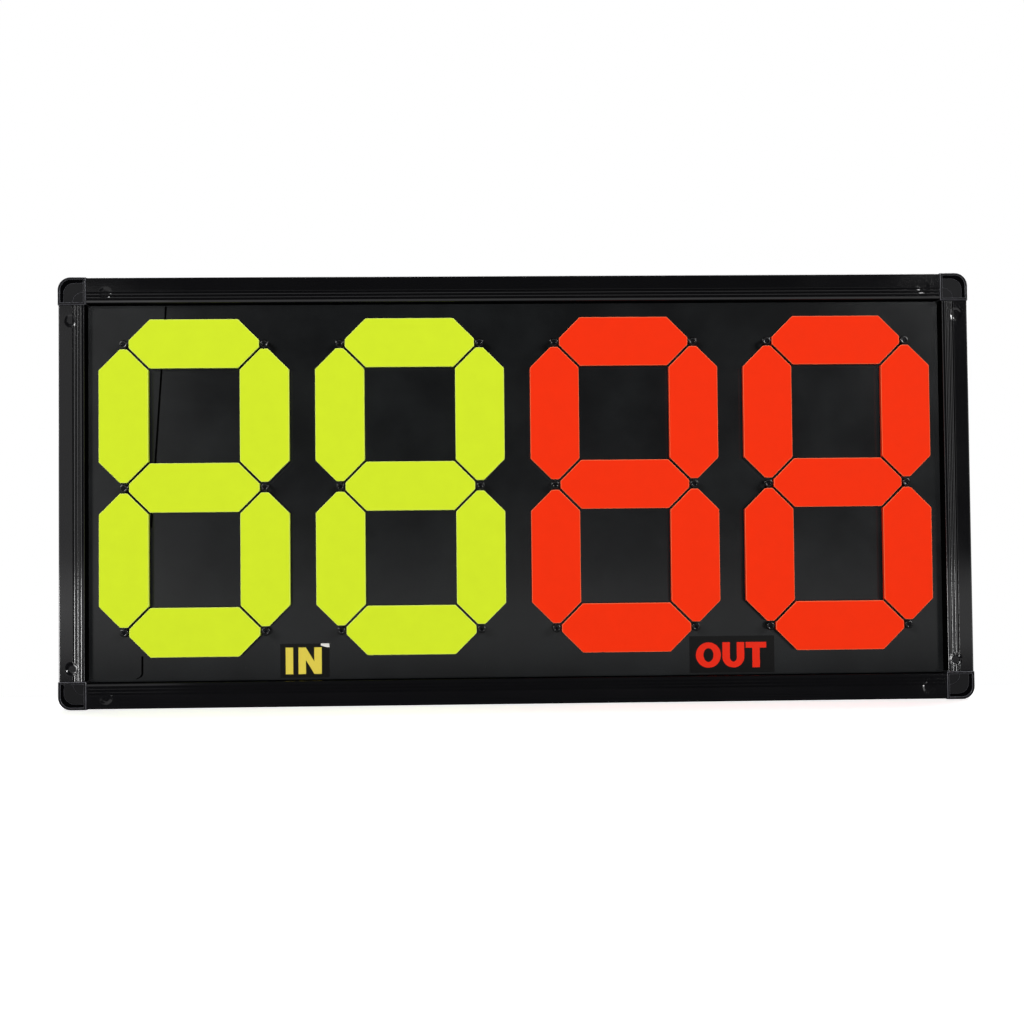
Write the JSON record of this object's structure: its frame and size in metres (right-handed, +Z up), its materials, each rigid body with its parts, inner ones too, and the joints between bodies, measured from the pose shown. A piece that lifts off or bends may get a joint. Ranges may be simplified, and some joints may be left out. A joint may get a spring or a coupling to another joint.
{
  "type": "substitution board",
  "caption": "Manual sports substitution board: aluminium frame, charcoal sheet, and seven-segment digits whose fluorescent slats turn over by hand to black.",
  "frame": {"origin": "under the middle of the bottom edge, at half the depth, on the surface that the board stands on", "axes": "+X to the right as the digits are read, +Y backwards, +Z up; the digits face -Y"},
  "size_m": [0.75, 0.0332, 0.353],
  "materials": {
    "frame_aluminium": "gloss black coated extrusion",
    "corner_plastic": "semi-gloss black moulded plastic",
    "front_sheet": "satin charcoal sheet",
    "rear_sheet": "matt black sheet",
    "segment_yellow": "fluorescent yellow front and edges, matt black back",
    "segment_red": "fluorescent red-orange front and edges, matt black back",
    "sticker_vinyl": "gloss black sticker"
  },
  "bodies": {
    "board": {"rail_bottom": "frame_aluminium", "rail_right": "frame_aluminium", "rail_top": "frame_aluminium", "rail_left": "frame_aluminium", "corner_cap_bottom_left": "corner_plastic", "corner_cap_bottom_right": "corner_plastic", "corner_cap_top_right": "corner_plastic", "corner_cap_top_left": "corner_plastic", "front_sheet": "front_sheet", "rear_sheet": "rear_sheet", "label_in": "sticker_vinyl", "label_out": "sticker_vinyl"},
    "in_tens_top": {"in_tens_top_segment": "segment_yellow"},
    "in_tens_upper_left": {"in_tens_upper_left_segment": "segment_yellow"},
    "in_tens_upper_right": {"in_tens_upper_right_segment": "segment_yellow"},
    "in_tens_middle": {"in_tens_middle_segment": "segment_yellow"},
    "in_tens_lower_left": {"in_tens_lower_left_segment": "segment_yellow"},
    "in_tens_lower_right": {"in_tens_lower_right_segment": "segment_yellow"},
    "in_tens_bottom": {"in_tens_bottom_segment": "segment_yellow"},
    "in_units_top": {"in_units_top_segment": "segment_yellow"},
    "in_units_upper_left": {"in_units_upper_left_segment": "segment_yellow"},
    "in_units_upper_right": {"in_units_upper_right_segment": "segment_yellow"},
    "in_units_middle": {"in_units_middle_segment": "segment_yellow"},
    "in_units_lower_left": {"in_units_lower_left_segment": "segment_yellow"},
    "in_units_lower_right": {"in_units_lower_right_segment": "segment_yellow"},
    "in_units_bottom": {"in_units_bottom_segment": "segment_yellow"},
    "out_tens_top": {"out_tens_top_segment": "segment_red"},
    "out_tens_upper_left": {"out_tens_upper_left_segment": "segment_red"},
    "out_tens_upper_right": {"out_tens_upper_right_segment": "segment_red"},
    "out_tens_middle": {"out_tens_middle_segment": "segment_red"},
    "out_tens_lower_left": {"out_tens_lower_left_segment": "segment_red"},
    "out_tens_lower_right": {"out_tens_lower_right_segment": "segment_red"},
    "out_tens_bottom": {"out_tens_bottom_segment": "segment_red"},
    "out_units_top": {"out_units_top_segment": "segment_red"},
    "out_units_upper_left": {"out_units_upper_left_segment": "segment_red"},
    "out_units_upper_right": {"out_units_upper_right_segment": "segment_red"},
    "out_units_middle": {"out_units_middle_segment": "segment_red"},
    "out_units_lower_left": {"out_units_lower_left_segment": "segment_red"},
    "out_units_lower_right": {"out_units_lower_right_segment": "segment_red"},
    "out_units_bottom": {"out_units_bottom_segment": "segment_red"}
  },
  "joints": [
    {"name": "in_tens_top_flip", "type": "hinge", "parent": "board", "child": "in_tens_top", "pos_m": [-0.26512, -0.00846, 0.2983], "axis": [1, 0, 0], "range_deg": [0, 180]},
    {"name": "in_tens_upper_left_flip", "type": "hinge", "parent": "board", "child": "in_tens_upper_left", "pos_m": [-0.32265, -0.00846, 0.23917], "axis": [0, 0, 1], "range_deg": [0, 180]},
    {"name": "in_tens_upper_right_flip", "type": "hinge", "parent": "board", "child": "in_tens_upper_right", "pos_m": [-0.2076, -0.00846, 0.23917], "axis": [0, 0, 1], "range_deg": [0, 180]},
    {"name": "in_tens_middle_flip", "type": "hinge", "parent": "board", "child": "in_tens_middle", "pos_m": [-0.26512, -0.00846, 0.18005], "axis": [1, 0, 0], "range_deg": [0, 180]},
    {"name": "in_tens_lower_left_flip", "type": "hinge", "parent": "board", "child": "in_tens_lower_left", "pos_m": [-0.32265, -0.00846, 0.12093], "axis": [0, 0, 1], "range_deg": [0, 180]},
    {"name": "in_tens_lower_right_flip", "type": "hinge", "parent": "board", "child": "in_tens_lower_right", "pos_m": [-0.2076, -0.00846, 0.12093], "axis": [0, 0, 1], "range_deg": [0, 180]},
    {"name": "in_tens_bottom_flip", "type": "hinge", "parent": "board", "child": "in_tens_bottom", "pos_m": [-0.26512, -0.00846, 0.0618], "axis": [1, 0, 0], "range_deg": [0, 180]},
    {"name": "in_units_top_flip", "type": "hinge", "parent": "board", "child": "in_units_top", "pos_m": [-0.08837, -0.00846, 0.2983], "axis": [1, 0, 0], "range_deg": [0, 180]},
    {"name": "in_units_upper_left_flip", "type": "hinge", "parent": "board", "child": "in_units_upper_left", "pos_m": [-0.1459, -0.00846, 0.23917], "axis": [0, 0, 1], "range_deg": [0, 180]},
    {"name": "in_units_upper_right_flip", "type": "hinge", "parent": "board", "child": "in_units_upper_right", "pos_m": [-0.03085, -0.00846, 0.23917], "axis": [0, 0, 1], "range_deg": [0, 180]},
    {"name": "in_units_middle_flip", "type": "hinge", "parent": "board", "child": "in_units_middle", "pos_m": [-0.08837, -0.00846, 0.18005], "axis": [1, 0, 0], "range_deg": [0, 180]},
    {"name": "in_units_lower_left_flip", "type": "hinge", "parent": "board", "child": "in_units_lower_left", "pos_m": [-0.1459, -0.00846, 0.12093], "axis": [0, 0, 1], "range_deg": [0, 180]},
    {"name": "in_units_lower_right_flip", "type": "hinge", "parent": "board", "child": "in_units_lower_right", "pos_m": [-0.03085, -0.00846, 0.12093], "axis": [0, 0, 1], "range_deg": [0, 180]},
    {"name": "in_units_bottom_flip", "type": "hinge", "parent": "board", "child": "in_units_bottom", "pos_m": [-0.08837, -0.00846, 0.0618], "axis": [1, 0, 0], "range_deg": [0, 180]},
    {"name": "out_tens_top_flip", "type": "hinge", "parent": "board", "child": "out_tens_top", "pos_m": [0.08837, -0.00846, 0.2983], "axis": [1, 0, 0], "range_deg": [0, 180]},
    {"name": "out_tens_upper_left_flip", "type": "hinge", "parent": "board", "child": "out_tens_upper_left", "pos_m": [0.03085, -0.00846, 0.23917], "axis": [0, 0, 1], "range_deg": [0, 180]},
    {"name": "out_tens_upper_right_flip", "type": "hinge", "parent": "board", "child": "out_tens_upper_right", "pos_m": [0.1459, -0.00846, 0.23917], "axis": [0, 0, 1], "range_deg": [0, 180]},
    {"name": "out_tens_middle_flip", "type": "hinge", "parent": "board", "child": "out_tens_middle", "pos_m": [0.08837, -0.00846, 0.18005], "axis": [1, 0, 0], "range_deg": [0, 180]},
    {"name": "out_tens_lower_left_flip", "type": "hinge", "parent": "board", "child": "out_tens_lower_left", "pos_m": [0.03085, -0.00846, 0.12093], "axis": [0, 0, 1], "range_deg": [0, 180]},
    {"name": "out_tens_lower_right_flip", "type": "hinge", "parent": "board", "child": "out_tens_lower_right", "pos_m": [0.1459, -0.00846, 0.12093], "axis": [0, 0, 1], "range_deg": [0, 180]},
    {"name": "out_tens_bottom_flip", "type": "hinge", "parent": "board", "child": "out_tens_bottom", "pos_m": [0.08837, -0.00846, 0.0618], "axis": [1, 0, 0], "range_deg": [0, 180]},
    {"name": "out_units_top_flip", "type": "hinge", "parent": "board", "child": "out_units_top", "pos_m": [0.26512, -0.00846, 0.2983], "axis": [1, 0, 0], "range_deg": [0, 180]},
    {"name": "out_units_upper_left_flip", "type": "hinge", "parent": "board", "child": "out_units_upper_left", "pos_m": [0.2076, -0.00846, 0.23917], "axis": [0, 0, 1], "range_deg": [0, 180]},
    {"name": "out_units_upper_right_flip", "type": "hinge", "parent": "board", "child": "out_units_upper_right", "pos_m": [0.32265, -0.00846, 0.23917], "axis": [0, 0, 1], "range_deg": [0, 180]},
    {"name": "out_units_middle_flip", "type": "hinge", "parent": "board", "child": "out_units_middle", "pos_m": [0.26512, -0.00846, 0.18005], "axis": [1, 0, 0], "range_deg": [0, 180]},
    {"name": "out_units_lower_left_flip", "type": "hinge", "parent": "board", "child": "out_units_lower_left", "pos_m": [0.2076, -0.00846, 0.12093], "axis": [0, 0, 1], "range_deg": [0, 180]},
    {"name": "out_units_lower_right_flip", "type": "hinge", "parent": "board", "child": "out_units_lower_right", "pos_m": [0.32265, -0.00846, 0.12093], "axis": [0, 0, 1], "range_deg": [0, 180]},
    {"name": "out_units_bottom_flip", "type": "hinge", "parent": "board", "child": "out_units_bottom", "pos_m": [0.26512, -0.00846, 0.0618], "axis": [1, 0, 0], "range_deg": [0, 180]}
  ]
}
